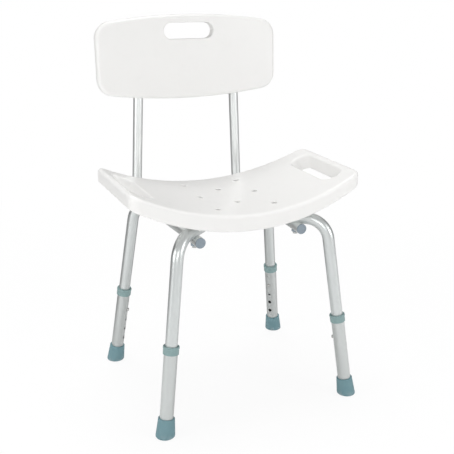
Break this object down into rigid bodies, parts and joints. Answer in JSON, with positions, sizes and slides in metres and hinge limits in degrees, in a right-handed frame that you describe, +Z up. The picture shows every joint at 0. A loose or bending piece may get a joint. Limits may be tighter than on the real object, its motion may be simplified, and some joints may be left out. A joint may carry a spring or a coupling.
{
  "type": "shower chair",
  "caption": "Shower chair: curved moulded seat and back with hand slots, crossed aluminium tube frame, telescoping legs with snap buttons and rubber tips.",
  "frame": {"origin": "on the floor, under the middle of the chair's overall box", "axes": "+Z up; -Y is the front, the way the sitter faces; +X is to the right as seen from the front"},
  "size_m": [0.516, 0.4598, 0.8108],
  "materials": {
    "moulded_seat_plastic": "blow-moulded polyethylene, off-white, fine satin texture",
    "anodised_tube": "satin clear-anodised drawn aluminium tube",
    "collar_plastic": "moulded nylon, grey-teal, satin",
    "tip_rubber": "moulded rubber, dull blue-grey",
    "end_cap_plastic": "moulded nylon, slate grey, satin",
    "spring_steel": "stainless spring strip with a turned button",
    "zinc_steel": "bright zinc plate",
    "brass_insert": "turned brass, knurled outside"
  },
  "bodies": {
    "frame": {"seat": "moulded_seat_plastic", "seat_inserts": "brass_insert", "diagonal_tube_a": "anodised_tube", "diagonal_tube_b": "anodised_tube", "crossing_rivet": "zinc_steel", "frame_bolts": "zinc_steel", "frame_saddle_washers": "end_cap_plastic", "backrest_panel": "moulded_seat_plastic", "panel_screws": "zinc_steel", "back_tube_left": "anodised_tube", "back_tube_cap_left": "end_cap_plastic", "back_tube_right": "anodised_tube", "back_tube_cap_right": "end_cap_plastic"},
    "leg_front_left": {"lower_leg_front_left": "anodised_tube", "leg_collar_front_left": "collar_plastic", "foot_tip_front_left": "tip_rubber", "tip_washer_front_left": "zinc_steel"},
    "snap_front_left": {"snap_clip_front_left": "spring_steel"},
    "leg_front_right": {"lower_leg_front_right": "anodised_tube", "leg_collar_front_right": "collar_plastic", "foot_tip_front_right": "tip_rubber", "tip_washer_front_right": "zinc_steel"},
    "snap_front_right": {"snap_clip_front_right": "spring_steel"},
    "leg_rear_left": {"lower_leg_rear_left": "anodised_tube", "leg_collar_rear_left": "collar_plastic", "foot_tip_rear_left": "tip_rubber", "tip_washer_rear_left": "zinc_steel"},
    "snap_rear_left": {"snap_clip_rear_left": "spring_steel"},
    "leg_rear_right": {"lower_leg_rear_right": "anodised_tube", "leg_collar_rear_right": "collar_plastic", "foot_tip_rear_right": "tip_rubber", "tip_washer_rear_right": "zinc_steel"},
    "snap_rear_right": {"snap_clip_rear_right": "spring_steel"}
  },
  "joints": [
    {"name": "leg_height_front_left", "type": "slide", "parent": "frame", "child": "leg_front_left", "axis": [-0.1201, -0.1002, -0.9877], "range_m": [-0.0762, 0.0254], "deforming": ["snap_clip_front_left"]},
    {"name": "snap_button_front_left", "type": "slide", "parent": "frame", "child": "snap_front_left", "axis": [-0.7583, -0.6328, 0.1564], "range_m": [0, 0.0053], "stiffness_N_per_m": 2500, "springref_m": -0.002, "deforming": ["snap_clip_front_left"]},
    {"name": "leg_height_front_right", "type": "slide", "parent": "frame", "child": "leg_front_right", "axis": [0.1201, -0.1002, -0.9877], "range_m": [-0.0762, 0.0254], "deforming": ["snap_clip_front_right"]},
    {"name": "snap_button_front_right", "type": "slide", "parent": "frame", "child": "snap_front_right", "axis": [0.7583, -0.6328, 0.1564], "range_m": [0, 0.0053], "stiffness_N_per_m": 2500, "springref_m": -0.002, "deforming": ["snap_clip_front_right"]},
    {"name": "leg_height_rear_left", "type": "slide", "parent": "frame", "child": "leg_rear_left", "axis": [-0.1201, 0.1002, -0.9877], "range_m": [-0.0762, 0.0254], "deforming": ["snap_clip_rear_left"]},
    {"name": "snap_button_rear_left", "type": "slide", "parent": "frame", "child": "snap_rear_left", "axis": [-0.7583, 0.6328, 0.1564], "range_m": [0, 0.0053], "stiffness_N_per_m": 2500, "springref_m": -0.002, "deforming": ["snap_clip_rear_left"]},
    {"name": "leg_height_rear_right", "type": "slide", "parent": "frame", "child": "leg_rear_right", "axis": [0.1201, 0.1002, -0.9877], "range_m": [-0.0762, 0.0254], "deforming": ["snap_clip_rear_right"]},
    {"name": "snap_button_rear_right", "type": "slide", "parent": "frame", "child": "snap_rear_right", "axis": [0.7583, 0.6328, 0.1564], "range_m": [0, 0.0053], "stiffness_N_per_m": 2500, "springref_m": -0.002, "deforming": ["snap_clip_rear_right"]}
  ]
}
